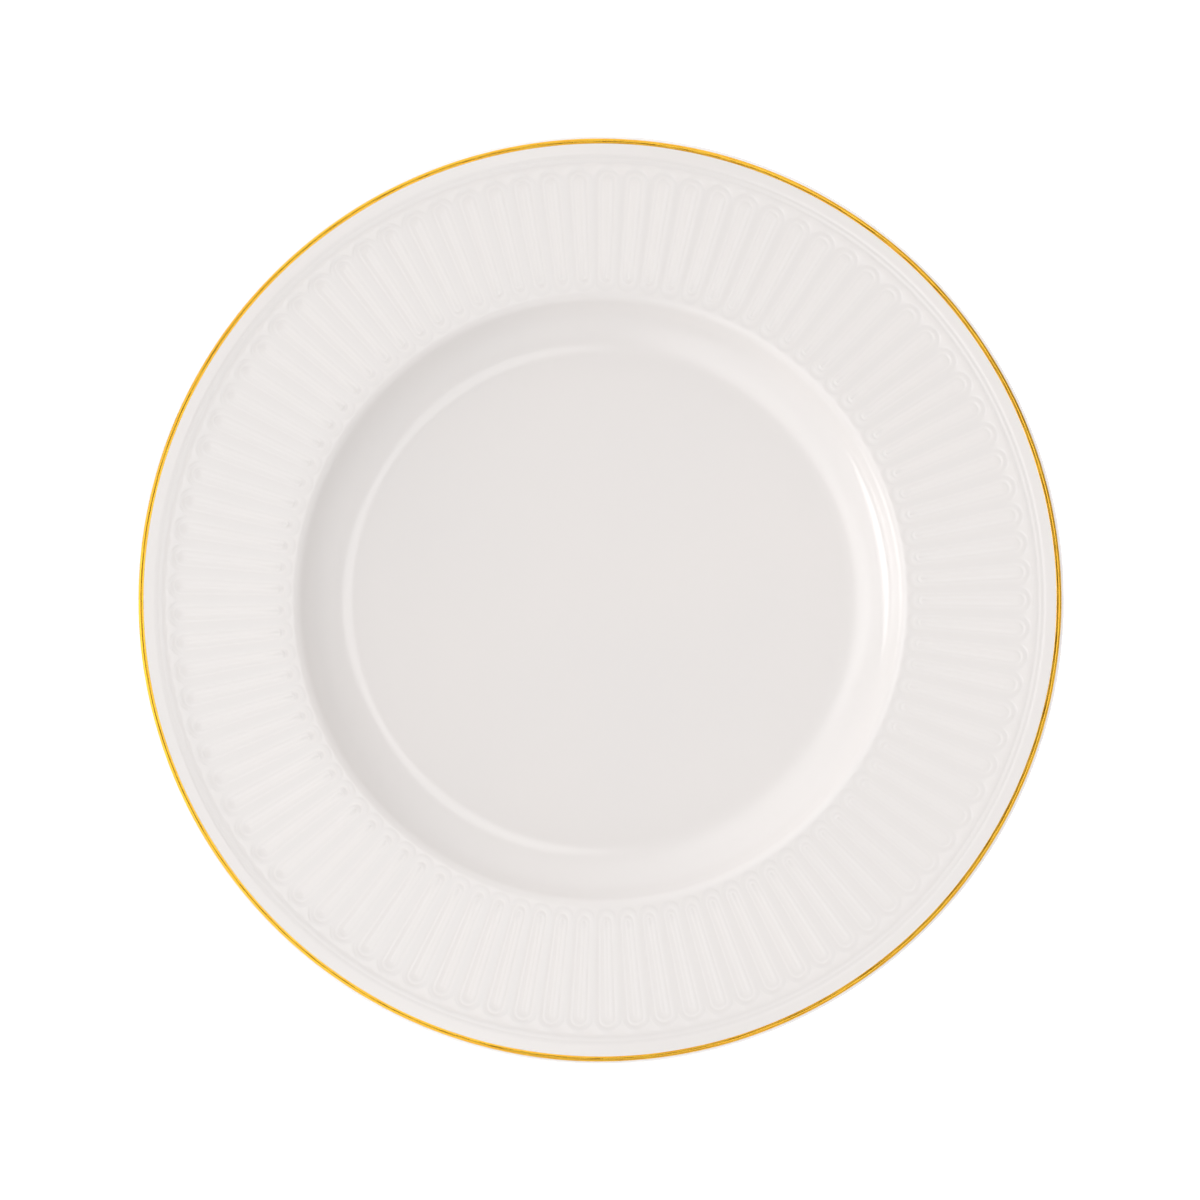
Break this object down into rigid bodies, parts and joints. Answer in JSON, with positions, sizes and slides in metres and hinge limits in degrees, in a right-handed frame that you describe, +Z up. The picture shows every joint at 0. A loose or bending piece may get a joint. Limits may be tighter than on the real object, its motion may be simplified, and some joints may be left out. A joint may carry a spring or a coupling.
{
  "type": "dinner plate",
  "caption": "Round white porcelain dinner plate with a flat well, a sloping rim moulded with radial flutes between plain bands, and a thin gold line just inside the lip.",
  "frame": {"origin": "centre of the foot ring, on the plane that the plate stands on", "axes": "+Z up out of the well along the plate's axis; one flute lies along +X"},
  "size_m": [0.27, 0.27, 0.0241],
  "materials": {
    "bisque": "unglazed fired porcelain, fine and satin, bare only on the foot ring",
    "glaze": "clear gloss glaze over warm white porcelain, opaque to the eye",
    "gold": "bright fired gold, slightly brushed where it was banded"
  },
  "bodies": {
    "root": {"porcelain_body": "bisque", "glaze_coat": "glaze", "foot_recess_glaze": "glaze", "gold_rim_line": "gold"}
  },
  "joints": []
}
